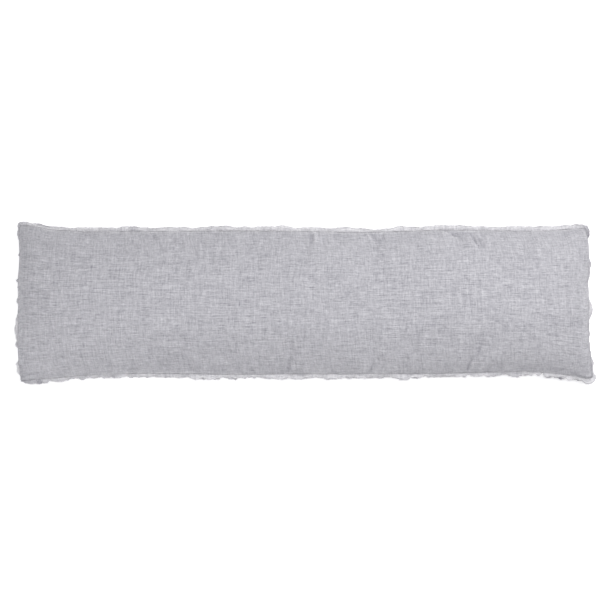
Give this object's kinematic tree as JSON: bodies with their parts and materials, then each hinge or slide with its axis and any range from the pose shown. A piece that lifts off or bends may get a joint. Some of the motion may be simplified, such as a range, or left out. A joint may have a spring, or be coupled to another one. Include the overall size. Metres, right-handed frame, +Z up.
{
  "type": "body pillow",
  "caption": "Long rectangular filled body pillow in slubbed linen, its sides drawn in between flared corners, with frayed raw seam margins left outside the seam.",
  "frame": {"origin": "centre of the bounding box, on the surface that the pillow lies on", "axes": "+X along the length, +Z up out of the front panel, +Y across towards the far long side"},
  "size_m": [1.4942, 0.421, 0.1733],
  "materials": {
    "linen_cover": "washed slubby plain-weave linen, pale heather grey, matt",
    "raw_edge": "frayed raw linen edge, lighter than the cover, matt"
  },
  "bodies": {
    "root": {"cushion": "linen_cover", "front_ply_far": "raw_edge", "front_ply_near": "raw_edge", "front_ply_left": "raw_edge", "front_ply_right": "raw_edge", "back_ply_far": "raw_edge", "back_ply_near": "raw_edge", "back_ply_left": "raw_edge", "back_ply_right": "raw_edge"}
  },
  "joints": []
}
